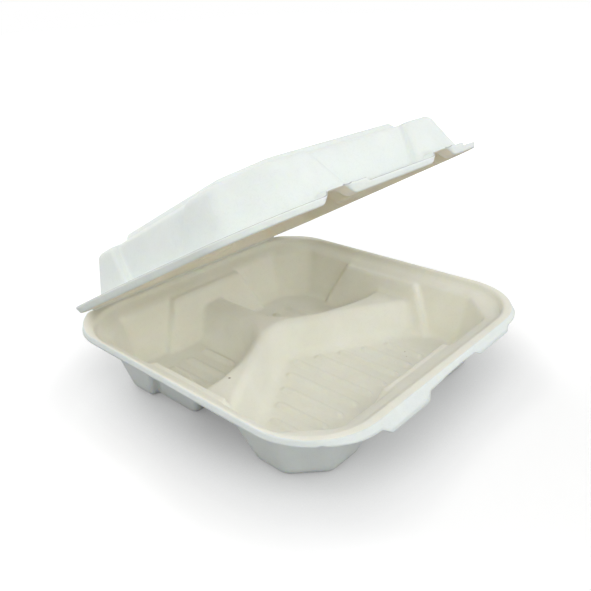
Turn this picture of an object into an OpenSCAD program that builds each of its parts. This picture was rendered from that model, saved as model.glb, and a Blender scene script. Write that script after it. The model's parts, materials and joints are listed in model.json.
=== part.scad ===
// Hinged three-compartment food container of pressed plant fibre, with its lid half open.
// The origin lies under the middle of the tray, on the surface that it stands on.
// The fold runs along X at the back.

/* [Sheet] */
// Thickness of the pressed sheet
wall = 0.8; // [0.6:0.1:1.4]
// Radius of the bend between neighbouring walls
wall_r = 7; // [3:0.5:12]

/* [Tray rim] */
// Height of the rim's top face
rim_h = 46; // [40:0.5:60]
// Half the width of the flat rim, along the fold
rim_x = 114.4; // [112:0.2:125]
// Distance from the centre to the front edge of the flat rim
rim_front = 119.3; // [115:0.1:130]
// Distance from the centre to the line that the back corners' arcs reach for
rim_back = 120.5; // [118:0.5:130]
// Radius of the rim's corners
rim_r = 45.5; // [30:0.5:60]
// Height of the turned-down lip
lip_h = 3; // [2:0.5:5]
// How far the lip leans out at the sides
lip_lean = 0.8; // [0:0.1:3]
// How much more the lip leans out at the front
lip_front_lean = 1.8; // [0:0.1:4]
// Half the width of the mouth, inside the flat of the rim
mouth_x = 111.5; // [109:0.5:113]
// Distance from the centre to the front of the mouth
mouth_front = 113; // [108:0.5:116]
// Distance from the centre to the back of the mouth
mouth_back = 109.5; // [106:0.5:111]
// Depth of the riser under the rim
riser_h = 4.5; // [3:0.5:6]
// How far the riser leans in
riser_lean = 1.5; // [0.5:0.5:3]
// Depth of the inner end of the sloping shelf
shelf_h = 8; // [7:0.5:12]

/* [Tray walls] */
// Half the distance between the side walls, at the shelf
top_x = 102; // [98:0.5:105]
// Half the distance between the front and back walls, at the shelf
top_y = 100.5; // [96:0.5:103]
// Lean of the walls, in millimetres for each millimetre of height
draft = 0.27; // [0.15:0.01:0.35]
// How much of each wall the corner chamfers take
chamfer = 24; // [12:1:36]
// How much a chamfer shrinks for each millimetre that the walls lean in
chamfer_shrink = 0.6; // [0:0.1:1]
// How far the stacking shoulders stand in from the walls
shoulder_in = 5; // [2:0.5:8]
// Half the width of a stacking shoulder at its ledge
shoulder_half = 33; // [20:1:40]
// How much wider a stacking shoulder gets on each side, for each millimetre away from its ledge
shoulder_spread = 0.48; // [0.2:0.02:0.6]
// How far the tray's ledges lie under the inner end of the shelf
ledge_drop = 0.5; // [0.2:0.1:3]

/* [Divider] */
// Height of the divider's crest
crest_h = 25; // [18:0.5:32]
// Lean of the divider's sides, in millimetres for each millimetre of height
divider_draft = 0.37; // [0.2:0.01:0.5]
// Where the front edge of the crest crosses the middle
crest_front = 27; // [15:0.5:35]
// Where the back edges of the crest would meet in the middle
crest_back = 36; // [30:0.5:45]
// Slope of the two slanted arms
arm_slope = 0.62; // [0.4:0.01:0.8]
// Where the back edges of the slanted arms turn along the fold
arm_end_y = 1; // [-6:0.5:8]
// Half the width of the arm between the two small compartments
spine_half = 9; // [5:0.5:14]
// Radius of the compartments' corners at the divider
divider_r = 13; // [6:0.5:18]

/* [Floor ribs] */
// Distance between neighbouring ribs
rib_pitch = 15.4; // [12:0.2:20]
// Width of a rib
rib_w = 6.5; // [4:0.5:9]
// Height of a rib over the floor
rib_h = 1.2; // [0.6:0.1:2]
// Number of ribs on each side of the middle one in the large compartment
rib_side_count = 4; // [2:1:4]
// Where the front ends of the ribs lie
rib_front = -64; // [-75:1:-50]
// Where the back ends of the ribs in the small compartments lie
rib_back = 70; // [60:1:78]
// Room between a rib's end and the slanted wall next to it
rib_room = 9; // [6:1:20]

/* [Lock tabs and slots] */
// Distance from the middle to the centre of a tab or a slot
lock_x = 47.5; // [40:0.5:60]
// Width of a tab
tab_w = 49; // [30:1:56]
// Depth of a tab's lower edge under the rim
tab_h = 6.5; // [5:0.5:14]
// Angle at which a tab leans out
tab_tilt = 30; // [0:1:45]
// Radius of a tab's lower corners, as a share of the tab's length
tab_round = 0.55; // [0.3:0.05:0.9]
// How much of the sheet's thickness a tab keeps
tab_share = 0.75; // [0.6:0.05:1]
// Width of a slot in the lid
slot_w = 40; // [24:1:50]
// Height of a slot's arch over the mating face
slot_h = 6.5; // [4:0.5:9]
// How much of a slot's width the flat of its arch takes
slot_flat = 0.6; // [0.3:0.05:0.9]
// How far a slot's arch runs in past the lid's front wall
slot_in = 8; // [7:0.5:12]

/* [Lid] */
// Distance from the centre to the fold
fold_y = 113; // [111:0.5:118]
// Angle at which the lid stands open
open_angle = 28.3; // [0:0.1:180]
// Half the width of the lid's flange
lid_x = 112.2; // [108:0.2:120]
// Distance from the centre to the front edge of the lid's flange
lid_front = 108.8; // [106:0.2:116]
// Distance from the centre to the line that the lid's back corners' arcs reach for
lid_back = 119.5; // [117:0.5:130]
// Radius of the lid flange's corners
lid_r = 44; // [25:1:55]
// Height of the lid's turned-up lip
lid_lip_h = 4.3; // [3:0.1:8]
// How far the lid's lip leans out
lid_lip_lean = 1.5; // [0:0.1:3]
// Half the distance between the lid's side walls, at the mating face
lid_top_x = 103; // [98:0.5:106]
// Half the distance between the lid's front and back walls, at the mating face
lid_top_y = 101.5; // [96:0.5:104]
// How much of each of the lid's walls the corner chamfers take
lid_chamfer = 28; // [12:1:36]
// Height of the lid's shoulder over the mating face
lid_shoulder_h = 29.5; // [20:0.5:45]
// Height of the raised panel over the shoulder
panel_h = 5.5; // [2:0.5:10]
// How far the raised panel stands in from the walls
panel_in = 18; // [8:1:30]
// How much of each of the raised panel's sides the corner chamfers take
panel_chamfer = 22; // [8:1:40]
// Height of the ledges of the lid's stacking shoulders
lid_ledge = 4.5; // [3:0.5:10]
// Room between the tray's rim and the lid's flange when the lid is shut
fold_gap = 0.3; // [0.2:0.1:0.8]

/* [Hidden] */
$fn = 40;
skin = 0.05;
far = 200;
grow_plan = tan(45 - atan(draft) / 2);
slant = sqrt(1 + arm_slope * arm_slope);
shelf_z = rim_h - shelf_h;
riser_z = rim_h - riser_h;
mouth_r = rim_r - (rim_x - mouth_x);
crest_lean = divider_draft * (crest_h - wall);
tab_back = 1.2 * wall;
slot_mouth_y = -lid_front - slot_in;
slot_end_y = -lid_top_y + slot_in;
pulp_tray = "#efe9d8";
pulp_lid = "#f2f2ec";

// Rounded rectangle from y_front to y_back, as wide as twice half_x.
module pad(half_x, y_front, y_back, r) {
    hull()
        for (x = [-half_x + r, half_x - r], y = [y_front + r, y_back - r])
            translate([x, y]) circle(r);
}

module rounded(r) {
    offset(r = r) offset(delta = -r) children();
}

// Rectangle with chamfered corners, rounded where its sides meet.
module octagon(half_x, half_y, cut) {
    x = half_x - cut;
    y = half_y - cut;
    rounded(wall_r)
        polygon([
            [half_x, -y], [half_x, y], [x, half_y], [-x, half_y],
            [-half_x, y], [-half_x, -y], [-x, -half_y], [x, -half_y]
        ]);
}

// Straight wall surface between two outlines at two heights.
module loft(z_low, z_high) {
    hull() {
        translate([0, 0, z_low]) linear_extrude(skin) children(0);
        translate([0, 0, z_high - skin]) linear_extrude(skin) children(1);
    }
}

// Chamfered outline of a walled hollow at the given depth, grown by the sheet's thickness for its outside.
module walled(half_x, half_y, cut, depth, grow) {
    lean = draft * depth;
    out = grow * grow_plan;
    octagon(half_x - lean + out, half_y - lean + out, cut);
}

// Outline of the tray's walls, with chamfers that shrink towards the floor.
module tray_walled(depth, grow) {
    walled(top_x, top_y, chamfer - chamfer_shrink * draft * depth, depth, grow);
}

// Outline of the lid's walls, or of its raised panel when set in.
module lid_walled(depth, grow, inset = 0, cut = lid_chamfer) {
    walled(lid_top_x - inset, lid_top_y - inset, cut, depth, grow);
}

// One stacking shoulder: a block that stands in from a wall and spreads with the depth under its ledge.
module shoulder(reach, depth, grow) {
    out = grow * grow_plan;
    low_half = shoulder_half + shoulder_spread * depth - out;
    low_x = reach - shoulder_in - draft * depth + out;
    top_half = shoulder_half - out;
    loft(-depth, 0) {
        translate([low_x, -low_half]) square([far, 2 * low_half]);
        translate([reach - shoulder_in + out, -top_half]) square([far, 2 * top_half]);
    }
}

// The four stacking shoulders of a walled hollow, one on each side.
module shoulders(half_x, half_y, depth, grow) {
    for (turn = [0, 180]) {
        rotate(turn) shoulder(half_x, depth, grow);
        rotate(turn + 90) shoulder(half_y, depth, grow);
    }
}

// The large compartment's outline: all that lies in front of the slanted arms.
module large_outline(back) {
    wing = back - arm_slope * far;
    rounded(divider_r)
        polygon([[-far, -far], [far, -far], [far, wing], [0, back], [-far, wing]]);
}

// A small compartment's outline: behind one slanted arm and beside the spine, all sides set in by shift.
module small_outline(shift) {
    back = crest_back + shift * slant;
    x_in = spine_half + shift;
    y_arm = arm_end_y + shift;
    x_turn = (back - y_arm) / arm_slope;
    rounded(divider_r)
        polygon([[x_in, back - arm_slope * x_in], [x_turn, y_arm], [far, y_arm], [far, far], [x_in, far]]);
}

// What the three compartments take out under the crest, and all that lies over it.
module compartments(grow) {
    out = grow * grow_plan;
    z_low = wall - grow - 1;
    lean = crest_lean + divider_draft;
    loft(z_low, crest_h - grow + skin) {
        large_outline(crest_front - (lean - out) * slant);
        large_outline(crest_front + out * slant);
    }
    for (side = [0, 1])
        mirror([side, 0, 0])
            loft(z_low, crest_h - grow + skin) {
                small_outline(lean - out);
                small_outline(-out);
            }
    translate([-far, -far, crest_h - grow]) cube([2 * far, 2 * far, far]);
}

// Outline of the tray's mouth, set in by the given lean and grown for its outside.
module mouth(lean, grow) {
    out = grow * grow_plan - lean;
    pad(mouth_x + out, -mouth_front - out, mouth_back + out, mouth_r + out);
}

// The tray's hollow, or its outside when grown by the sheet's thickness.
module tray_hollow(grow) {
    depth = shelf_z - wall;
    top = grow > 0 ? -wall / 2 : wall;
    loft(riser_z - grow, rim_h + top) {
        mouth(riser_lean, grow);
        mouth(-riser_lean * top / riser_h, grow);
    }
    loft(shelf_z - grow - skin, riser_z - grow + skin) {
        tray_walled(0, grow);
        mouth(riser_lean, grow);
    }
    difference() {
        intersection() {
            loft(wall - grow, shelf_z - grow) {
                tray_walled(depth, grow);
                tray_walled(0, grow);
            }
            compartments(grow);
        }
        translate([0, 0, shelf_z - ledge_drop - grow]) shoulders(top_x, top_y, depth + 1, grow);
    }
}

// A rib with round ends, raised from the floor.
module rib(x, y_front, y_back) {
    r = rib_w / 2;
    hull()
        for (y = [y_front + r, y_back - r])
            translate([x, y, wall / 2]) {
                cylinder(h = wall / 2, r = r);
                cylinder(h = wall / 2 + rib_h, r = r / 2);
            }
}

// All ribs: up to the slanted walls of the large compartment, and in the two small ones.
module ribs() {
    lean = crest_lean * slant;
    for (i = [-rib_side_count : rib_side_count])
        rib(i * rib_pitch, rib_front, crest_front - lean - arm_slope * abs(i) * rib_pitch - rib_room);
    for (side = [-1, 1], i = [2 : rib_side_count])
        rib(side * i * rib_pitch, crest_back + lean - arm_slope * i * rib_pitch + rib_room, rib_back);
}

// Flat flange with a leaning lip all round, drawn with the lip up, and cut off along the fold.
module pan(half_x, front, back, r, height, lean, front_lean) {
    side = lean - wall;
    difference() {
        loft(0, height) {
            pad(half_x, -front, back, r);
            pad(half_x + lean, -front - front_lean, back + lean, r + lean);
        }
        loft(wall, height + skin) {
            pad(half_x - wall, -front + wall, back - wall, r - wall);
            pad(half_x + side, -front - front_lean + wall, back + side, r + side);
        }
        translate([-far, fold_y - fold_gap / 2, -far]) cube(2 * far);
    }
}

// A lock tab: a tongue with rounded lower corners that hangs from the front lip and leans out.
module tab(x) {
    root = wall / 2;
    long = (tab_h - lip_h + root) / cos(tab_tilt);
    r = long * tab_round;
    translate([x, -rim_front - lip_lean - lip_front_lean + tab_back, rim_h - lip_h + root])
        rotate([90 - tab_tilt, 0, 0])
            linear_extrude(wall * tab_share)
                hull() {
                    translate([-tab_w / 2, -root]) square([tab_w, root]);
                    for (side = [-1, 1])
                        translate([side * (tab_w / 2 - 2 * r), r - long]) circle(r, $fn = 16);
                }
}

module tray() {
    color(pulp_tray)
        difference() {
            union() {
                translate([0, 0, rim_h])
                    mirror([0, 0, 1])
                        pan(rim_x, rim_front, rim_back, rim_r, lip_h, lip_lean, lip_lean + lip_front_lean);
                tray_hollow(wall);
                for (side = [-1, 1]) tab(side * lock_x);
            }
            difference() {
                tray_hollow(0);
                ribs();
            }
        }
}

// The lid's hollow, drawn downwards from the mating face.
// It is the lid's outside when grown by the sheet's thickness.
module lid_hollow(grow) {
    low = wall - grow;
    top = grow > 0 ? -wall / 2 : wall;
    difference() {
        loft(-lid_shoulder_h + low, top) {
            lid_walled(lid_shoulder_h, grow);
            lid_walled(-top, grow);
        }
        translate([0, 0, -lid_ledge - grow]) shoulders(lid_top_x, lid_top_y, lid_shoulder_h, grow);
    }
    loft(-lid_shoulder_h - panel_h + low, -lid_shoulder_h + low + skin) {
        lid_walled(lid_shoulder_h + panel_h, grow, panel_in, panel_chamfer);
        lid_walled(lid_shoulder_h, grow, panel_in, panel_chamfer);
    }
}

// Arch of a lock slot through the lid's front lip, up to the wall.
module slot_arch(x, y_front, y_back, grow) {
    half = slot_w / 2 + grow;
    flat = half * slot_flat;
    low = grow > 0 ? wall / 4 : -wall;
    high = slot_h + grow;
    translate([x, y_back, 0])
        rotate([90, 0, 0])
            linear_extrude(y_back - y_front)
                polygon([[-half, low], [half, low], [flat, high], [-flat, high]]);
}

module shut_lid() {
    difference() {
        union() {
            pan(lid_x, lid_front, lid_back, lid_r, lid_lip_h, lid_lip_lean, lid_lip_lean);
            mirror([0, 0, 1]) lid_hollow(wall);
            for (side = [-1, 1])
                slot_arch(side * lock_x, -lid_front - lid_lip_lean / 2, slot_end_y, wall);
        }
        mirror([0, 0, 1]) lid_hollow(0);
        for (side = [-1, 1])
            slot_arch(side * lock_x, slot_mouth_y, slot_end_y + 2 * wall, 0);
    }
}

module lid() {
    color(pulp_lid)
        translate([0, fold_y, rim_h + fold_gap / 2])
            rotate([-open_angle, 0, 0])
                translate([0, -fold_y, fold_gap / 2])
                    shut_lid();
}

tray();
lid();
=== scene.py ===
import json
import math

import bpy
import numpy as np
from mathutils import Matrix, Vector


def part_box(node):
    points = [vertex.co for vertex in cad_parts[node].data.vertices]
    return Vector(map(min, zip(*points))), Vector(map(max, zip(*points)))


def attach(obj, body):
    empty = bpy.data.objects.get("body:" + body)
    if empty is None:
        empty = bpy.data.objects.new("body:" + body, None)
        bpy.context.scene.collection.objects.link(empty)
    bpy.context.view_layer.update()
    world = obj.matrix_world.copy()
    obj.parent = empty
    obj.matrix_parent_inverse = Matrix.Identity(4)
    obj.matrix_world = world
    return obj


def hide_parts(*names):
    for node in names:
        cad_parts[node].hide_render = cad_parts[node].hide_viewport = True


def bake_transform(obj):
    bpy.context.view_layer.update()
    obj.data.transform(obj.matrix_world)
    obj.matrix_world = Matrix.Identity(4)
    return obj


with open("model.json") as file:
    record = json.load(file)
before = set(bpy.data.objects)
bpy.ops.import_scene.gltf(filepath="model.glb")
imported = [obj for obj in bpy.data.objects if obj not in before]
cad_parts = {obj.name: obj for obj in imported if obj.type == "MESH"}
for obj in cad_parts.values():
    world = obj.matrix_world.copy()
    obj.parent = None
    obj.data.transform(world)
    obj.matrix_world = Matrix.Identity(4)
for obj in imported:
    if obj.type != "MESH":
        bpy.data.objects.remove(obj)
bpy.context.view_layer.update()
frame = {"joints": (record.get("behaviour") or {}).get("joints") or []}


# The tray: one sheet of plant-fibre pulp, pressed wet between two heated tools and dried there.
# Its rim, sloping shelf, leaning walls, three compartments and floor ribs are all drawn from that sheet.
# Sizes here and below are in millimetres and become metres where a mesh is made.
MM = 0.001
SHEET = 0.8

# The fold's line and the lid's angle come from the frame. Both sheets stop FOLD_ROOM short of that line.
fold = frame["joints"][0]
FOLD_Y = fold["pos_m"][1] / MM
FOLD_Z = fold["pos_m"][2] / MM
OPEN_ANGLE = -math.radians(fold["range_deg"][0])
FOLD_ROOM = 0.15

# The rim and the mouth inside it: half width, reach to the front and to the back, corner radius.
RIM_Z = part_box("tray")[1].z / MM
RIM_X, RIM_FRONT, RIM_BACK, RIM_R = 114.4, 119.3, 120.5, 45.5
MOUTH_X, MOUTH_FRONT, MOUTH_BACK, MOUTH_R = 111.5, 113.0, 109.5, 42.6
RISER_H, RISER_LEAN = 4.5, 1.5

# The walls: half sizes at the shelf, lean for each millimetre of height, and chamfered corners.
SHELF_DROP, LEDGE_DROP = 8.0, 0.5
SHELF_Z = RIM_Z - SHELF_DROP
LEDGE_Z = SHELF_Z - LEDGE_DROP
TOP_X, TOP_Y, DRAFT = 102.0, 100.5, 0.27
CHAMFER, CHAMFER_SHRINK = 24.0, 0.6
SHOULDER_IN, SHOULDER_HALF, SHOULDER_SPREAD = 5.0, 33.0, 0.48

# The Y-shaped divider: its crest's height, and the lines along which its arms and spine end at that height.
CREST_Z, DIVIDER_DRAFT = 25.0, 0.37
CREST_FRONT, CREST_BACK, ARM_SLOPE, ARM_END_Y = 27.0, 36.0, 0.62, 1.0
SPINE_HALF, DIVIDER_R = 9.0, 13.0

# The floor ribs: a middle one and RIB_SIDE_COUNT to either side, RIB_ROOM short of the divider's foot.
# Those from RIB_BACK_FIRST on, counted from the middle, go on in the small compartments.
RIB_PITCH, RIB_HALF, RIB_H, RIB_SIDE_COUNT, RIB_BACK_FIRST = 15.4, 3.4, 2.3, 4, 2
RIB_FRONT, RIB_BACK, RIB_ROOM = -64.0, 70.0, 9.0

# The radii of the bends.
FLOOR_R, WALL_R, CREST_R, FOOT_R, LEDGE_R, EDGE_R = 2.5, 2.5, 4.2, 7.0, 2.2, 1.4


def smooth(share):
    """Smooth step: 3s² − 2s³ of a share held between 0 and 1."""
    s = np.clip(share, 0, 1)
    return s * s * (3 - 2 * s)


def round_min(a, b, r):
    """The lower of two distances, with the corner where both are small rounded to radius r."""
    return np.maximum(r, np.minimum(a, b)) - np.hypot(np.maximum(r - a, 0), np.maximum(r - b, 0))


def round_max(a, b, r):
    """The higher of two distances, rounded in the same way."""
    return -round_min(-a, -b, r)


def lean_share(slope):
    """Cosine of a wall's lean, which turns a level distance from the wall into one square to it."""
    return 1 / math.hypot(1, slope)


def octagon_room(x, y, half_x, half_y, cut, r):
    """Distance inwards from a rectangle with chamfered corners.

    It is the least of the distances from the side, the end and the chamfer."""
    side, end = half_x - np.abs(x), half_y - np.abs(y)
    return round_min(round_min(side, end, r), (side + end - cut) / math.sqrt(2), r)


def pad_room(x, y, half_x, front, back, r):
    """Distance inwards from a rectangle with rounded corners, which runs from y = -front to y = back."""
    out_x = np.abs(x) - (half_x - r)
    out_y = np.abs(y - (back - front) / 2) - ((back + front) / 2 - r)
    beyond = np.hypot(np.maximum(out_x, 0), np.maximum(out_y, 0))
    return r - beyond - np.minimum(np.maximum(out_x, out_y), 0)


def shoulder_room(room, side, along, half, under):
    """Takes a stacking shoulder out of a hollow.

    The shoulder is a block within SHOULDER_IN of the wall, with |along| < half, below its ledge."""
    block = round_max(side - SHOULDER_IN, (np.abs(along) - half) * lean_share(SHOULDER_SPREAD), LEDGE_R)
    return round_min(room, round_max(block, under, LEDGE_R), LEDGE_R)


def rib_rise(x, y):
    """Height of the floor ribs: RIB_H · (1 − (off / RIB_HALF)²), where off is the way from a rib's line."""
    lean = DIVIDER_DRAFT * (CREST_Z - SHEET) * math.hypot(1, ARM_SLOPE)
    rise = np.zeros_like(x)
    for i in range(-RIB_SIDE_COUNT, RIB_SIDE_COUNT + 1):
        arm_drop = ARM_SLOPE * abs(i) * RIB_PITCH
        spans = [(RIB_FRONT, CREST_FRONT - lean - arm_drop - RIB_ROOM)]
        if abs(i) >= RIB_BACK_FIRST:
            spans.append((CREST_BACK + lean - arm_drop + RIB_ROOM, RIB_BACK))
        for y_front, y_back in spans:
            off = np.hypot(x - i * RIB_PITCH, y - np.clip(y, y_front + RIB_HALF, y_back - RIB_HALF))
            rise = np.maximum(rise, RIB_H * np.clip(1 - (off / RIB_HALF) ** 2, 0, 1))
    return rise


def divider_room(x, y, z):
    """Distance into the air beside or over the divider: inside a compartment's outline, or above the crest.

    Each compartment's outline is cut by planes that lean back by DIVIDER_DRAFT for each millimetre
    of height."""
    slant = math.hypot(1, ARM_SLOPE)
    shift = DIVIDER_DRAFT * (CREST_Z - z)
    right = (CREST_FRONT - ARM_SLOPE * x - y) / slant - shift
    left = (CREST_FRONT + ARM_SLOPE * x - y) / slant - shift
    large = round_min(right, left, DIVIDER_R)
    spine = np.abs(x) - SPINE_HALF - shift
    arm = (y + ARM_SLOPE * np.abs(x) - CREST_BACK) / slant - shift
    small = round_min(round_min(spine, arm, DIVIDER_R), y - ARM_END_Y - shift, DIVIDER_R)
    return round_max(np.maximum(large, small) * lean_share(DIVIDER_DRAFT), z - CREST_Z, CREST_R)


def tray_room(x, y, z, rise):
    """Distance from (x, y, z) into the air over the tray: positive above its sheet, negative below it.

    The compartments lie within the leaning walls, over the ribbed floor and clear of shoulders and divider.
    The space over the sloping shelf joins them and the riser under the rim bounds it. All is open over
    the rim."""
    lean = DRAFT * (SHELF_Z - z)
    half_x, half_y = TOP_X - lean, TOP_Y - lean
    cut = CHAMFER - CHAMFER_SHRINK * lean
    room = octagon_room(x, y, half_x, half_y, cut, WALL_R) * lean_share(DRAFT)
    half = SHOULDER_HALF + SHOULDER_SPREAD * (LEDGE_Z - z)
    for side, along in ((half_x - np.abs(x), y), (half_y - np.abs(y), x)):
        room = shoulder_room(room, side * lean_share(DRAFT), along, half, z - LEDGE_Z)
    over_floor = z - SHEET - rise
    room = round_min(room, round_min(divider_room(x, y, z), over_floor, FOOT_R), FLOOR_R)
    beyond = -octagon_room(x, y, TOP_X, TOP_Y, CHAMFER, WALL_R)
    within = pad_room(x, y, MOUTH_X - RISER_LEAN, MOUTH_FRONT - RISER_LEAN, MOUTH_BACK - RISER_LEAN, MOUTH_R)
    least_shelf = 0.1
    up = np.clip(beyond / np.maximum(beyond + within, least_shelf), 0, 1)
    room = round_max(room, z - SHELF_Z - (RIM_Z - RISER_H - SHELF_Z) * up, LEDGE_R)
    set_in = RISER_LEAN * (RIM_Z - z) / RISER_H
    riser = pad_room(x, y, MOUTH_X - set_in, MOUTH_FRONT - set_in, MOUTH_BACK - set_in, MOUTH_R)
    return round_max(round_min(room, riser, EDGE_R), z - RIM_Z, EDGE_R)


class Net:
    """A rectangular net of knots made of a middle block and rings round it.

    A knot's ring counts cells beyond the block. Its share runs from 0 at the middle of a ring's side to 1
    at the side's corner. on_x tells the left and right sides from front and back ones, and back tells
    y >= 0 from y < 0."""

    def __init__(self, across, along, rings):
        a = np.arange(-across // 2 - rings, across // 2 + rings + 1)
        b = np.arange(-along // 2 - rings, along // 2 + rings + 1)
        self.a, self.b = np.meshgrid(a, b, indexing="ij")
        over_x, over_y = np.abs(self.a) - across / 2, np.abs(self.b) - along / 2
        self.ring = np.maximum(np.maximum(over_x, over_y), 0)
        self.on_x = over_x >= over_y
        self.back = self.b >= 0
        self.share = np.where(
            self.on_x,
            np.abs(self.b) / (along / 2 + self.ring),
            np.abs(self.a) / (across / 2 + self.ring),
        )
        self.block = np.stack([np.abs(self.a) / (across / 2), self.b / (along / 2)], -1)
        self.number = np.arange(self.a.size).reshape(self.a.shape)

    def lay(self, sides):
        """Places every knot on one outline, given as four broken lines from a side's middle to its corner."""
        place = np.zeros(self.ring.shape + (2,))
        for (on_x, back), points in sides.items():
            here = (self.on_x == on_x) & (self.back == back)
            points = np.array(points, float)
            length = np.concatenate(([0], np.cumsum(np.hypot(*np.diff(points, axis=0).T))))
            reach = self.share[here] * length[-1]
            place[here] = np.stack([np.interp(reach, length, column) for column in points.T], -1)
        return place

    def set_in(self, place, half):
        """Moves an outline in by SHOULDER_IN where it runs along a shoulder of the given half width."""
        soft = 2.0
        along = np.where(self.on_x, np.abs(place[..., 1]), np.abs(place[..., 0]))
        step = SHOULDER_IN * smooth((half + soft - along) / (2 * soft))
        place[..., 0] -= np.where(self.on_x, step, 0)
        place[..., 1] -= np.where(self.on_x, 0, step) * np.where(self.back, 1, -1)
        return place

    def between(self, block, counts, outlines):
        """Places the block's knots on a rectangle (x, front, back) and the rings' knots between outlines.

        counts tells how many rings lead up to each outline. Knots lie on straight lines from one outline
        to the next."""
        x, front, back = block
        v = self.block[..., 1]
        place = np.stack([x * np.clip(self.block[..., 0], 0, 1), np.where(v < 0, -v * front, v * back)], -1)
        edge = self.lay(rectangle_sides(x, front, back))
        first = 0
        for count, outline in zip(counts, outlines):
            part = np.clip((self.ring - first) / count, 0, 1)[..., None]
            beyond = self.ring > first
            place[beyond] = (edge + (outline - edge) * part)[beyond]
            edge, first = outline, first + count
        return place[..., 0] * np.where(self.a < 0, -1, 1), place[..., 1]

    def faces(self):
        """The net's cells as rows of four knot numbers, seen anticlockwise from above."""
        n = self.number
        return np.stack([n[:-1, :-1], n[1:, :-1], n[1:, 1:], n[:-1, 1:]], -1).reshape(-1, 4)

    def edge(self):
        """Numbers of the outermost knots on the left, front and right, from the fold round to the fold."""
        return np.concatenate([self.number[0, :0:-1], self.number[:-1, 0], self.number[-1, :]])


def rectangle_sides(x, front, back):
    """A plain rectangle as the four broken lines that Net.lay takes."""
    return {
        (True, False): [(x, 0), (x, front)],
        (False, False): [(0, front), (x, front)],
        (True, True): [(x, 0), (x, back)],
        (False, True): [(0, back), (x, back)],
    }


def octagon_sides(half_x, half_y, front_cut, back_cut=None):
    """A rectangle with chamfered corners, whose sides end in the middle of a chamfer."""
    sides = {}
    for back, s, cut in ((False, -1, front_cut), (True, 1, back_cut or front_cut)):
        corner = (half_x - cut / 2, s * (half_y - cut / 2))
        sides[True, back] = [(half_x, 0), (half_x, s * (half_y - cut)), corner]
        sides[False, back] = [(0, s * half_y), (half_x - cut, s * half_y), corner]
    return sides


def pad_sides(half_x, front, back, r, fold_y=None):
    """A rectangle with rounded corners, whose sides end in the middle of a corner's arc.

    With fold_y, its back is cut straight along the fold, and its back arcs end there."""
    arc_points, fold_arc_points = 16, 24
    sides = {}
    for is_back, s, reach in ((False, -1, front), (True, 1, back)):
        x, y = half_x - r, reach - r
        turn = np.linspace(0, math.pi / 4, arc_points)
        end = np.stack([x + r * np.sin(turn), s * (y + r * np.cos(turn))], -1)
        if is_back and fold_y is not None:
            turn = np.linspace(0, math.asin((fold_y - y) / r), fold_arc_points)
            end = np.array([(x + r * np.cos(turn[-1]), fold_y)])
        side = np.stack([x + r * np.cos(turn), s * (y + r * np.sin(turn))], -1)
        sides[True, is_back] = [(half_x, 0), *side]
        sides[False, is_back] = [(0, end[0, 1]), *end]
    return sides


def settle(room, low, high, steps=34):
    """Heights at which room(z) passes zero, found by halving the span between low and high."""
    low, high = np.broadcast_arrays(low, high)
    for _ in range(steps):
        middle = (low + high) / 2
        below = room(middle) < 0
        low, high = np.where(below, middle, low), np.where(below, high, middle)
    return (low + high) / 2


def lip_strip(rim, bend, slope, length, up):
    """A lip that leaves the sheet's rim in a bend and runs on straight, as rows of knots outside that rim.

    At each rim knot the lip turns from level down, or up, through the angle slope on the radius bend, and
    then goes on for length. Returns the rows, shaped rows by knots by 3."""
    bend_parts, run_parts = (0.25, 0.5, 0.75, 1.0), (0.3, 0.65, 1.0)
    run = np.gradient(rim[:, :2], axis=0)
    run /= np.hypot(run[:, 0], run[:, 1])[:, None]
    out = np.stack([run[:, 1], -run[:, 0], np.zeros(len(rim))], -1)
    down = np.array([0, 0, 1.0 if up else -1.0])
    rows = []
    for part in bend_parts:
        turn = (slope * part)[:, None]
        rows.append(rim + bend * (out * np.sin(turn) + down * (1 - np.cos(turn))))
    along = out * np.cos(slope)[:, None] + down * np.sin(slope)[:, None]
    bent = rows[-1]
    for part in run_parts:
        rows.append(bent + along * (length * part)[:, None])
    return np.array(rows)


def join_strip(knots, edge, rows, keep=slice(None)):
    """Adds lip rows to a sheet's knots, and returns all knots and the lip's faces.

    The lip starts from the sheet's edge knots, and keep tells which cells along the edge it has."""
    number = len(knots) + np.arange(rows.shape[0] * len(edge)).reshape(rows.shape[0], len(edge))
    lines = np.concatenate([edge[None], number])
    cells = np.stack([lines[:-1, :-1], lines[1:, :-1], lines[1:, 1:], lines[:-1, 1:]], -1)
    return np.concatenate([knots, rows.reshape(-1, 3)]), cells[:, keep].reshape(-1, 4)


def fibre_piece(name, knots, faces, lip_faces, lip_slot, finishes):
    """Makes a piece of the pressed sheet: smooth faces, with its thickness laid behind them.

    finishes lists what the sheet shows on its face, back and edge, and from lip_slot on what the lip
    shows on its own."""
    used, numbers = np.unique(np.concatenate([faces, lip_faces]), return_inverse=True)
    mesh = bpy.data.meshes.new(name)
    mesh.from_pydata(knots[used] * MM, [], numbers.reshape(-1, 4).tolist())
    mesh.polygons.foreach_set("use_smooth", np.ones(len(mesh.polygons), bool))
    for finish in finishes:
        mesh.materials.append(finish)
    mesh.polygons.foreach_set("material_index", np.repeat([0, lip_slot], [len(faces), len(lip_faces)]))
    piece = bpy.data.objects.new(name, mesh)
    bpy.context.scene.collection.objects.link(piece)
    wall = piece.modifiers.new("sheet", "SOLIDIFY")
    wall.thickness = SHEET * MM
    wall.offset = -1
    wall.use_even_offset = True
    wall.use_quality_normals = True
    wall.material_offset = 1
    wall.material_offset_rim = 2
    return piece


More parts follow.
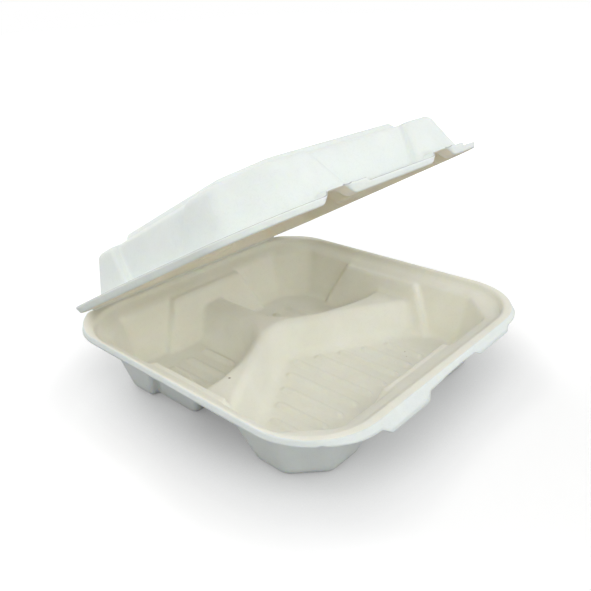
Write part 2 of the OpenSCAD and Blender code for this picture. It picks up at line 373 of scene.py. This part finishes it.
class Finish:
    """The nodes of one finish, with a method for each kind.

    Values are plain numbers, points or colours, or other nodes' outputs."""

    def __init__(self, tree):
        self.nodes, self.links = tree.nodes, tree.links

    def add(self, kind, **values):
        """A new node of a kind, with values for its sockets by name."""
        node = self.nodes.new("ShaderNode" + kind)
        for name, value in values.items():
            self.feed(node.inputs[name], value)
        return node

    def feed(self, socket, value):
        """Sets a socket, or joins it to an output."""
        if isinstance(value, bpy.types.NodeSocket):
            self.links.new(value, socket)
        else:
            socket.default_value = value

    def place(self):
        """The piece's own coordinates, in metres."""
        return self.add("TexCoord").outputs["Object"]

    def noise(self, place, scale, detail, twist):
        """Cloudy noise between 0 and 1."""
        node = self.add("TexNoise", Vector=place, Scale=scale, Detail=detail, Distortion=twist)
        return node.outputs["Fac"]

    def remap(self, value, low, high, to_low, to_high, curve="LINEAR"):
        """Carries a value from the span low to high over to the span to_low to to_high."""
        node = self.add("MapRange", Value=value)
        node.interpolation_type = curve
        for name, number in zip(("From Min", "From Max", "To Min", "To Max"), (low, high, to_low, to_high)):
            node.inputs[name].default_value = number
        return node.outputs["Result"]

    def mix(self, share, first, second):
        """Goes from the first colour to the second as share goes from 0 to 1."""
        node = self.nodes.new("ShaderNodeMix")
        node.data_type = "RGBA"
        self.feed(node.inputs["Factor"], share)
        for name, colour in (("A", first), ("B", second)):
            self.feed(node.inputs[name], (*colour, 1) if isinstance(colour, tuple) else colour)
        return node.outputs["Result"]

    def maths(self, kind, *values):
        """One step of arithmetic on its values."""
        node = self.nodes.new("ShaderNodeMath")
        node.operation = kind
        for socket, value in zip(node.inputs, values):
            self.feed(socket, value)
        return node.outputs["Value"]

    def reach(self, kind, *points):
        """The length of a vector, or the distance between two points."""
        node = self.nodes.new("ShaderNodeVectorMath")
        node.operation = kind
        for socket, point in zip(node.inputs, points):
            self.feed(socket, point)
        return node.outputs["Value"]


# The finish's noises, each as scale, detail and twist, and the spans and shares with which they show.
CLOUDS, CLOUD_SPAN = (38, 4, 0.6), (0.32, 0.7)
FIBRES, FIBRE_MIDDLE, FIBRE_WIDTH, FIBRE_SHARE, FIBRE_SHADE = (260, 3, 1.4), 0.5, 0.03, 0.16, 0.8
HUSK_SCALE, HUSK_EDGE, HUSK_COLOUR = 85, (0.035, 0.06), (0.33, 0.25, 0.13)
HUSK_PATCHES, HUSK_SPAN, HUSK_SHARE = (21, 1, 0), (0.6, 0.66), 0.55
STRAND_EDGE, STRAND_SHARE, STRAND_COLOUR = (0.0005, 0.0011), 0.75, (0.2, 0.15, 0.08)
GRAIN, GRAIN_SHARE, FIBRE_RELIEF, DIMPLES = (900, 4, 0.8), 0.5, 0.25, (190, 2, 0)
BUMP_STRENGTH, BUMP_DEPTH = 0.3, 0.0006
ROUGHNESS, SHEEN = 0.88, 0.25
SOFT_SHARE, SOFT_DEPTH, SOFT_COLOUR = 0.6, 0.0007, (1.0, 0.85, 0.55)


def pulp(name, pale, deep, strand=None):
    """Matte pressed pulp: cloudy between a pale and a deep colour, with fine matted fibres that stand out.

    A few brown husk specks lie in it, and strand is the place of one dark fibre on the sheet."""
    material = bpy.data.materials.new(name)
    material.use_nodes = True
    finish = Finish(material.node_tree)
    shader = finish.nodes["Principled BSDF"]
    shader.inputs["Roughness"].default_value = ROUGHNESS
    shader.inputs["Specular IOR Level"].default_value = SHEEN
    shader.inputs["Subsurface Weight"].default_value = SOFT_SHARE
    shader.inputs["Subsurface Scale"].default_value = SOFT_DEPTH
    shader.inputs["Subsurface Radius"].default_value = SOFT_COLOUR
    place = finish.place()
    colour = finish.mix(finish.remap(finish.noise(place, *CLOUDS), *CLOUD_SPAN, 0, 1), deep, pale)
    off_line = finish.maths("ABSOLUTE", finish.maths("SUBTRACT", finish.noise(place, *FIBRES), FIBRE_MIDDLE))
    fibres = finish.remap(off_line, 0, FIBRE_WIDTH, 1, 0)
    shade = tuple(FIBRE_SHADE * c for c in deep)
    colour = finish.mix(finish.maths("MULTIPLY", fibres, FIBRE_SHARE), colour, shade)
    husk = finish.add("TexVoronoi", Vector=place, Scale=HUSK_SCALE)
    speck = finish.remap(husk.outputs["Distance"], *HUSK_EDGE, 1, 0)
    patch = finish.remap(finish.noise(place, *HUSK_PATCHES), *HUSK_SPAN, 0, HUSK_SHARE)
    colour = finish.mix(finish.maths("MULTIPLY", speck, patch), colour, HUSK_COLOUR)
    if strand is not None:
        dark = finish.remap(finish.reach("DISTANCE", place, strand), *STRAND_EDGE, STRAND_SHARE, 0)
        colour = finish.mix(dark, colour, STRAND_COLOUR)
    finish.feed(shader.inputs["Base Color"], colour)
    grain = finish.maths("MULTIPLY", finish.noise(place, *GRAIN), GRAIN_SHARE)
    height = finish.maths("ADD", grain, finish.maths("MULTIPLY", fibres, FIBRE_RELIEF))
    height = finish.maths("ADD", height, finish.noise(place, *DIMPLES))
    bump = finish.add("Bump", Height=height, Strength=BUMP_STRENGTH, Distance=BUMP_DEPTH)
    finish.feed(shader.inputs["Normal"], bump.outputs["Normal"])
    return material


# The tray's net: a block over the floors, then rings up to the floor's edge and the outlines beyond it.
# Each bend lies between two outlines, a step to either side of it.
TRAY_ACROSS, TRAY_ALONG, TRAY_RINGS = 134, 106, (6, 5, 12, 5, 5, 7, 4)
BLOCK_X, BLOCK_FRONT, BLOCK_BACK = 77.0, -74.0, 76.0
FLOOR_STEPS, LEDGE_STEP, MOUTH_STEP = (-2.3, 0.7), 1.0, 0.5
LIP_BEND, LIP_TAKES = 0.7, 0.55
OVER_RIM = 2.0
tray_net = Net(TRAY_ACROSS, TRAY_ALONG, sum(TRAY_RINGS))
wall_drop = SHELF_Z - SHEET
floor_x, floor_y = TOP_X - DRAFT * wall_drop, TOP_Y - DRAFT * wall_drop
floor_cut = CHAMFER - CHAMFER_SHRINK * DRAFT * wall_drop
floor_half = SHOULDER_HALF + SHOULDER_SPREAD * wall_drop
floor_outlines = [
    tray_net.set_in(tray_net.lay(octagon_sides(floor_x + step, floor_y + step, floor_cut)), floor_half)
    for step in FLOOR_STEPS
]
ledge_outline = tray_net.lay(octagon_sides(TOP_X - LEDGE_STEP, TOP_Y - LEDGE_STEP, CHAMFER))
shelf_outline = tray_net.lay(octagon_sides(TOP_X + LEDGE_STEP, TOP_Y + LEDGE_STEP, CHAMFER))
mouth_outlines = [
    tray_net.lay(pad_sides(MOUTH_X + step, MOUTH_FRONT + step, MOUTH_BACK + step, MOUTH_R))
    for step in (-RISER_LEAN, MOUTH_STEP)
]
rim_sizes = np.array((RIM_X, RIM_FRONT, RIM_BACK, RIM_R)) - LIP_TAKES
tray_x, tray_y = tray_net.between((BLOCK_X, BLOCK_FRONT, BLOCK_BACK), TRAY_RINGS, [
    *floor_outlines,
    tray_net.set_in(ledge_outline, SHOULDER_HALF),
    shelf_outline,
    *mouth_outlines,
    tray_net.lay(pad_sides(*rim_sizes, FOLD_Y - FOLD_ROOM)),
])
tray_rise = rib_rise(tray_x, tray_y)
tray_z = settle(lambda z: tray_room(tray_x, tray_y, z, tray_rise), np.zeros_like(tray_x), RIM_Z + OVER_RIM)
tray_knots = np.stack([tray_x, tray_y, tray_z], -1).reshape(-1, 3)

# The tray's lip and its two lock tabs: the rim's edge, turned down and trimmed after moulding.
# Along the front the lip slants out, and each tab goes on in that slant as a tongue with rounded corners.
# The lip is a little longer in the left half of the front, fades out at the fold, and has one nick.
LIP_RUN, LIP_SWELL, TAB_RUNS = 3.3, 1.1, (4.4, 3.2)
SIDE_SLOPE, FRONT_SLOPE = math.radians(78), math.radians(51)
FRONT_FROM, FRONT_OVER = 100.0, 17.0
SWELL_START, SWELL_START_OVER, SWELL_END, SWELL_END_OVER = -100.0, 20.0, 5.0, 28.0
TAB_X, TAB_HALF, TAB_END = 47.7, 23.5, 7.0
NICK_X, NICK_Y, NICK_R, NICK_DEPTH = -100.3, -106.6, 1.6, 1.1
LIP_FADE, LIP_FLAT = 7.0, 0.15
tray_edge = tray_net.edge()
edge_x, edge_y = tray_knots[tray_edge, 0], tray_knots[tray_edge, 1]
frontness = smooth((-edge_y - FRONT_FROM) / FRONT_OVER)
tongue = smooth((TAB_HALF - np.abs(np.abs(edge_x) - TAB_X)) / TAB_END) * (edge_y < -FRONT_FROM)
tongue *= np.where(edge_x < 0, *TAB_RUNS)
swell = LIP_SWELL * smooth((SWELL_END - edge_x) / SWELL_END_OVER) * frontness
swell *= smooth((edge_x - SWELL_START) / SWELL_START_OVER)
nick = NICK_DEPTH * np.exp(-((edge_x - NICK_X) ** 2 + (edge_y - NICK_Y) ** 2) / NICK_R ** 2)
fold_end = smooth((FOLD_Y - edge_y) / LIP_FADE)
run = (LIP_RUN + swell) * fold_end + tongue - nick
slope = SIDE_SLOPE + (FRONT_SLOPE - SIDE_SLOPE) * frontness
slope *= LIP_FLAT + (1 - LIP_FLAT) * fold_end
tray_lip = lip_strip(tray_knots[tray_edge], LIP_BEND, slope, run, up=False)
tray_knots, tray_lip_faces = join_strip(tray_knots, tray_edge, tray_lip)
DARK_FIBRE = (-0.0692, -0.0038, 0.025)
inner_pulp = pulp("inner_pulp", (0.89, 0.89, 0.81), (0.855, 0.85, 0.755), DARK_FIBRE)
# The tray's outer face, lip and edges: the outer pulp's cool grey, made darker as painted shade for the
# weaker light on the low outside of the tray.
shaded_outer_pulp = pulp("shaded_outer_pulp", (0.785, 0.83, 0.812), (0.75, 0.795, 0.775))
tray_finishes = [inner_pulp, shaded_outer_pulp, shaded_outer_pulp, shaded_outer_pulp]
tray_sheet = fibre_piece("tray_sheet", tray_knots, tray_net.faces(), tray_lip_faces, 1, tray_finishes)
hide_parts("tray")
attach(tray_sheet, "tray")


# The lid: the other half of the same pressed sheet, a shallow domed cover with a raised panel on top.
# Its edge is turned up into a lip, and two arched slots at the front take the tray's tabs.
# It is shaped as it lies when shut, with heights over the tray's rim, and then turned open.
LID_X, LID_FRONT, LID_BACK, LID_R = 112.2, 108.8, 119.5, 44.0
LID_TOP_X, LID_TOP_Y, LID_CHAMFERS = 102.6, 101.1, (24.0, 28.0)
LID_SHOULDER_H, LID_LEDGE, LID_LIFT = 29.5, 3.7, 0.15
PANEL_H, PANEL_X, PANEL_Y, PANEL_CHAMFER = 5.2, 78.0, 77.0, 22.0
LID_TOP_R, PANEL_R, LID_FOOT_R = 2.6, 2.2, 1.8

# The slots: across a slot, the flange rises in an arch between SLOT_ENDS, and the lip's edge up to BROW_END.
SLOT_X, SLOT_ENDS, SLOT_H = 48.5, (-17.8, 9.5), 5.7
SLOT_FLANKS, SLOT_BACK, SLOT_RAMP = (8.0, 8.0), -96.0, 4.0
BROW_END, BROW_H, BROW_FLANKS = 18.8, 2.4, (9.0, 1.2)

# The lip: LID_LIP_H high at the fold, and lower by LIP_FALL at the front.
LID_LIP_H, LID_LIP_BEND, LID_LIP_SLOPE, LID_LIP_FLAT = 4.3, 0.6, math.radians(70), 0.1
LIP_FALL, LIP_FALL_FROM, LIP_FALL_OVER = 1.2, 40.0, 140.0
LEAST_LIP = 0.02


def slot_arch(x, y, end, flanks):
    """Share of a slot's arch at (x, y), from 0 outside the arch to 1 at its full height.

    u runs across the slot, and the arch goes from the slot's start to end, with a flank at either end."""
    u = x - np.copysign(SLOT_X, x)
    across = smooth((u - SLOT_ENDS[0]) / flanks[0]) * smooth((end - u) / flanks[1])
    return across * smooth((SLOT_BACK - y) / SLOT_RAMP)


def flange_rise(x, y):
    """Height of the flange's arches over the slots."""
    return SLOT_H * slot_arch(x, y, SLOT_ENDS[1], SLOT_FLANKS)


def lid_room(x, y, h, arch):
    """Distance into the hollow under the shut lid at height h over the tray's rim, positive inside it.

    The hollow lies within leaning walls with set-in shoulders, under the shoulder and the raised panel, and
    all is open under the flange and its two arches."""
    lean = DRAFT * h
    half_x, half_y = LID_TOP_X - lean, LID_TOP_Y - lean
    cut = np.where(y < 0, *LID_CHAMFERS)
    room = octagon_room(x, y, half_x, half_y, cut, WALL_R) * lean_share(DRAFT)
    half = SHOULDER_HALF + SHOULDER_SPREAD * (h - LID_LEDGE)
    for side, along in ((half_x - np.abs(x), y), (half_y - np.abs(y), x)):
        room = shoulder_room(room, side * lean_share(DRAFT), along, half, LID_LEDGE - h)
    room = round_min(room, LID_SHOULDER_H - h, LID_TOP_R)
    lean = DRAFT * (h - LID_SHOULDER_H)
    panel = octagon_room(x, y, PANEL_X - lean, PANEL_Y - lean, PANEL_CHAMFER, WALL_R) * lean_share(DRAFT)
    room = round_max(room, round_min(panel, LID_SHOULDER_H + PANEL_H - h, PANEL_R), PANEL_R)
    return round_max(room, arch - h, LID_FOOT_R)


def open_lid(knots):
    """Turns shut-lid places about the fold's line, FOLD_Y and FOLD_Z, to where the lid stands."""
    y, z = knots[..., 1] - FOLD_Y, knots[..., 2] + LID_LIFT
    c, s = math.cos(OPEN_ANGLE), math.sin(OPEN_ANGLE)
    return np.stack([knots[..., 0], FOLD_Y + c * y + s * z, FOLD_Z - s * y + c * z], -1)


# The lid's net: a block on the panel, then rings over the panel's edge, the shoulder, wall and flange.
LID_ACROSS, LID_RINGS, LID_BLOCK = 106, (6, 7, 7, 14, 5, 7), 60.0
PANEL_STEP, FLANGE_STEP = 2.5, 2.0
LID_LOW, LID_HIGH = -1.0, 40.0
lid_net = Net(LID_ACROSS, LID_ACROSS, sum(LID_RINGS))
top_lean = DRAFT * LID_SHOULDER_H
brow_half = SHOULDER_HALF + SHOULDER_SPREAD * (LID_SHOULDER_H - LID_LEDGE)
panel_outlines = [
    lid_net.lay(octagon_sides(PANEL_X + step, PANEL_Y + step, PANEL_CHAMFER))
    for step in (-PANEL_STEP, PANEL_STEP)
]
shoulder_outline, wall_outline, flange_outline = [
    lid_net.lay(octagon_sides(LID_TOP_X + step, LID_TOP_Y + step, *LID_CHAMFERS))
    for step in (-top_lean, 0, FLANGE_STEP)
]
lid_sizes = np.array((LID_X, LID_FRONT, LID_BACK, LID_R)) - LIP_TAKES
lid_x, lid_y = lid_net.between((LID_BLOCK, -LID_BLOCK, LID_BLOCK), LID_RINGS, [
    *panel_outlines,
    lid_net.set_in(shoulder_outline, brow_half),
    lid_net.set_in(wall_outline, SHOULDER_HALF),
    flange_outline,
    lid_net.lay(pad_sides(*lid_sizes, FOLD_Y - FOLD_ROOM)),
])
lid_arch = flange_rise(lid_x, lid_y)
lid_z = settle(lambda h: -SHEET - lid_room(lid_x, lid_y, h, lid_arch), np.full_like(lid_x, LID_LOW), LID_HIGH)
lid_knots = np.stack([lid_x, lid_y, lid_z], -1).reshape(-1, 3)
lid_edge = lid_net.edge()
edge_x, edge_y = lid_knots[lid_edge, 0], lid_knots[lid_edge, 1]
fold_end = smooth((FOLD_Y - edge_y) / LIP_FADE)
lip_h = LID_LIP_H - LIP_FALL * smooth((LIP_FALL_FROM - edge_y) / LIP_FALL_OVER)
raised = BROW_H * slot_arch(edge_x, edge_y, BROW_END, BROW_FLANKS) - flange_rise(edge_x, edge_y)
standing = np.maximum(1 + raised / lip_h, 0) * fold_end
run = (lip_h - LID_LIP_BEND) / math.sin(LID_LIP_SLOPE) * standing
slope = LID_LIP_SLOPE * (LID_LIP_FLAT + (1 - LID_LIP_FLAT) * np.minimum(standing, 1))
lid_lip = lip_strip(lid_knots[lid_edge], LID_LIP_BEND, slope, run, up=True)
has_lip = (standing[1:] > LEAST_LIP) | (standing[:-1] > LEAST_LIP)
lid_knots, lid_lip_faces = join_strip(lid_knots, lid_edge, lid_lip, has_lip)
outer_pulp = pulp("outer_pulp", (0.835, 0.88, 0.86), (0.8, 0.845, 0.82))
# The lid's inner face: a cream like the tray's inside, made warmer still as painted warm light for light
# passing through the sheet into the rear compartments.
lid_inner_painted_warm_pulp = pulp("lid_inner_painted_warm_pulp", (0.9, 0.865, 0.765), (0.86, 0.82, 0.705))
# The lid lip's free edge: a dark grey, painted shade for the shadow line in the groove between the lip and
# the lid's wall.
painted_shadow_edge_pulp = pulp("painted_shadow_edge_pulp", (0.56, 0.58, 0.56), (0.48, 0.5, 0.48))
lid_finishes = [outer_pulp, lid_inner_painted_warm_pulp, outer_pulp, outer_pulp, painted_shadow_edge_pulp]
lid_sheet = fibre_piece("lid_sheet", open_lid(lid_knots), lid_net.faces(), lid_lip_faces, 2, lid_finishes)
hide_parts("lid")
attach(lid_sheet, "lid")


# The fold: the creased line where the sheet runs on from the tray's rim into the lid's flange.
# On the real container it is scored in the mould and bends with the lid, and is no piece of its own. Here it
# is one fixed mesh, made at the lid's open angle.
# Its section is closed: a bow round the back, and a crease filled to CREASE_RUN from the fold's line.
FOLD_HALF, FOLD_STATIONS, BOW_POINTS, CREASE_POINTS = 91.0, 184, 13, 9
FOLD_OUT, FOLD_IN = FOLD_Z - RIM_Z + SHEET, 0.13
CREASE_RUN, CREASE_FILL = 3.4, 0.25
turn = np.linspace(-math.pi / 2, math.pi / 2 - OPEN_ANGLE, BOW_POINTS)
bow = FOLD_OUT * np.stack([np.cos(turn), np.sin(turn)], -1)
lid_up = np.array((math.sin(OPEN_ANGLE), math.cos(OPEN_ANGLE)))
lid_front = np.array((-math.cos(OPEN_ANGLE), math.sin(OPEN_ANGLE)))
under_lid = FOLD_IN * lid_up + CREASE_RUN * lid_front
over_rim = np.array((-CREASE_RUN, -FOLD_IN))
share = np.linspace(0, 1, CREASE_POINTS)[:, None]
crease = (1 - share) ** 2 * under_lid + share ** 2 * over_rim
crease += 2 * share * (1 - share) * CREASE_FILL * (under_lid + over_rim)
section = np.concatenate([bow, [FOLD_IN * lid_up], crease, [(0, -FOLD_IN)]]) + (FOLD_Y, FOLD_Z)
fold_knots = np.empty((FOLD_STATIONS, len(section), 3))
fold_knots[..., 0] = np.linspace(-FOLD_HALF, FOLD_HALF, FOLD_STATIONS)[:, None]
fold_knots[..., 1:] = section
number = np.arange(FOLD_STATIONS * len(section)).reshape(FOLD_STATIONS, len(section))
beside = np.roll(number, -1, axis=1)
fold_faces = np.stack([number[:-1], number[1:], beside[1:], beside[:-1]], -1).reshape(-1, 4).tolist()
fold_faces += [number[0].tolist(), number[-1, ::-1].tolist()]
inside = np.tile(np.arange(len(section)) >= len(bow), FOLD_STATIONS - 1)
mesh = bpy.data.meshes.new("fold_crease")
mesh.from_pydata((fold_knots.reshape(-1, 3) * MM).tolist(), [], fold_faces)
mesh.materials.append(outer_pulp)
mesh.materials.append(inner_pulp)
mesh.polygons.foreach_set("material_index", np.append(inside, (False, False)).astype(int))
fold_crease = bpy.data.objects.new("fold_crease", mesh)
bpy.context.scene.collection.objects.link(fold_crease)
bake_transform(fold_crease)


# The stage: a pale floor that keeps the container's soft shadow, with a painted contact shadow that darkens
# its colour close to the container, and the surround.
# For the camera the floor turns plain white away from the container, and the surround is white.
# As light on the container both stay at a plain level.
FLOOR_HALF = 6.0
FLOOR_SEEN, FLOOR_BOUNCE, FLOOR_LIFT = 0.93, 0.45, 0.19
CONTACT_REACH, CONTACT_DEPTH, CONTACT_SAMPLES = 0.06, 0.38, 8
WHITE_FROM, WHITE_TO = 0.2, 0.7
SKY_LEVEL = 0.03
mesh = bpy.data.meshes.new("floor")
corners = np.array([(-1, -1, 0), (1, -1, 0), (1, 1, 0), (-1, 1, 0)]) * FLOOR_HALF
mesh.from_pydata(corners.tolist(), [], [(0, 1, 2, 3)])
floor = bpy.data.objects.new("floor", mesh)
bpy.context.scene.collection.objects.link(floor)
floor_white = bpy.data.materials.new("floor_white")
floor_white.use_nodes = True
finish = Finish(floor_white.node_tree)
finish.nodes.remove(finish.nodes["Principled BSDF"])
seen = finish.add("LightPath").outputs["Is Camera Ray"]
# The ambient occlusion darkens the floor's colour near the container: a painted contact shadow, on top of the
# shadow the lamps cast.
painted_contact_shadow = finish.add("AmbientOcclusion", Distance=CONTACT_REACH)
painted_contact_shadow.samples = CONTACT_SAMPLES
grey = finish.remap(seen, 0, 1, FLOOR_BOUNCE, FLOOR_SEEN)
grey = finish.maths("MULTIPLY", grey, finish.remap(painted_contact_shadow.outputs["AO"], 0, 1, CONTACT_DEPTH, 1))
diffuse = finish.add("BsdfDiffuse", Color=grey)
away = finish.reach("LENGTH", finish.place())
white = finish.remap(away, WHITE_FROM, WHITE_TO, FLOOR_LIFT, 1, "SMOOTHSTEP")
glow = finish.add("Emission", Strength=finish.maths("MULTIPLY", seen, white))
both = finish.nodes.new("ShaderNodeAddShader")
finish.feed(both.inputs[0], diffuse.outputs["BSDF"])
finish.feed(both.inputs[1], glow.outputs["Emission"])
finish.feed(finish.nodes["Material Output"].inputs["Surface"], both.outputs["Shader"])
mesh.materials.append(floor_white)

world = bpy.data.worlds.new("surround")
bpy.context.scene.world = world
world.use_nodes = True
surround = Finish(world.node_tree)
seen = surround.add("LightPath").outputs["Is Camera Ray"]
sky = surround.nodes["Background"]
sky.inputs["Color"].default_value = (1, 1, 1, 1)
surround.feed(sky.inputs["Strength"], surround.remap(seen, 0, 1, SKY_LEVEL, 1))


# The lamps: five large square ones round the container, all facing it, for soft light.
# Each has a name, its azimuth and elevation in degrees and its power in watts.
LAMP_AWAY, LAMP_SIZE = 1.3, 1.3
LAMPS = (
    ("key_front_left", -140, 46, 10.6),
    ("front", -85, 24, 6.6),
    ("right", -20, 30, 7.6),
    ("back", 90, 28, 13.0),
    ("left", 165, 16, 4.0),
)


def towards(azimuth, elevation):
    """Direction from the container: degrees of azimuth from +X towards +Y, and of elevation."""
    a, e = math.radians(azimuth), math.radians(elevation)
    return np.array((math.cos(e) * math.cos(a), math.cos(e) * math.sin(a), math.sin(e)))


def facing(place, azimuth, elevation, roll=0.0):
    """Stands something at a place, with its back in a direction, turned by roll about it."""
    a, r = math.radians(azimuth), math.radians(roll)
    back = towards(azimuth, elevation)
    level = np.array((-math.sin(a), math.cos(a), 0))
    right = math.cos(r) * level + math.sin(r) * np.cross(back, level)
    turned = np.eye(4)
    turned[:3] = np.stack([right, np.cross(back, right), back, place], -1)
    return Matrix(turned.tolist())


for name, azimuth, elevation, power in LAMPS:
    lamp = bpy.data.lights.new(name, "AREA")
    lamp.size = LAMP_SIZE
    lamp.energy = power
    stand = bpy.data.objects.new(name, lamp)
    bpy.context.scene.collection.objects.link(stand)
    stand.matrix_world = facing(LAMP_AWAY * towards(azimuth, elevation), azimuth, elevation)


# The camera: looks down over the tray's near left corner, from close by, as the photograph does.
# Its place is in metres, and its angles are in degrees.
CAMERA_EYE = (-0.2894, -0.2724, 0.2432)
CAMERA_AZIMUTH, CAMERA_ELEVATION, CAMERA_ROLL = -136.618, 25.277, -2.543
CAMERA_LENS, CAMERA_SENSOR, CAMERA_NEAR = 39.03, 36.0, 0.01
camera = bpy.data.objects.new("camera", bpy.data.cameras.new("camera"))
bpy.context.scene.collection.objects.link(camera)
camera.data.lens = CAMERA_LENS
camera.data.sensor_width = CAMERA_SENSOR
camera.data.clip_start = CAMERA_NEAR
camera.matrix_world = facing(CAMERA_EYE, CAMERA_AZIMUTH, CAMERA_ELEVATION, CAMERA_ROLL)
bpy.context.scene.camera = camera
bpy.context.scene.view_settings.view_transform = "Standard"
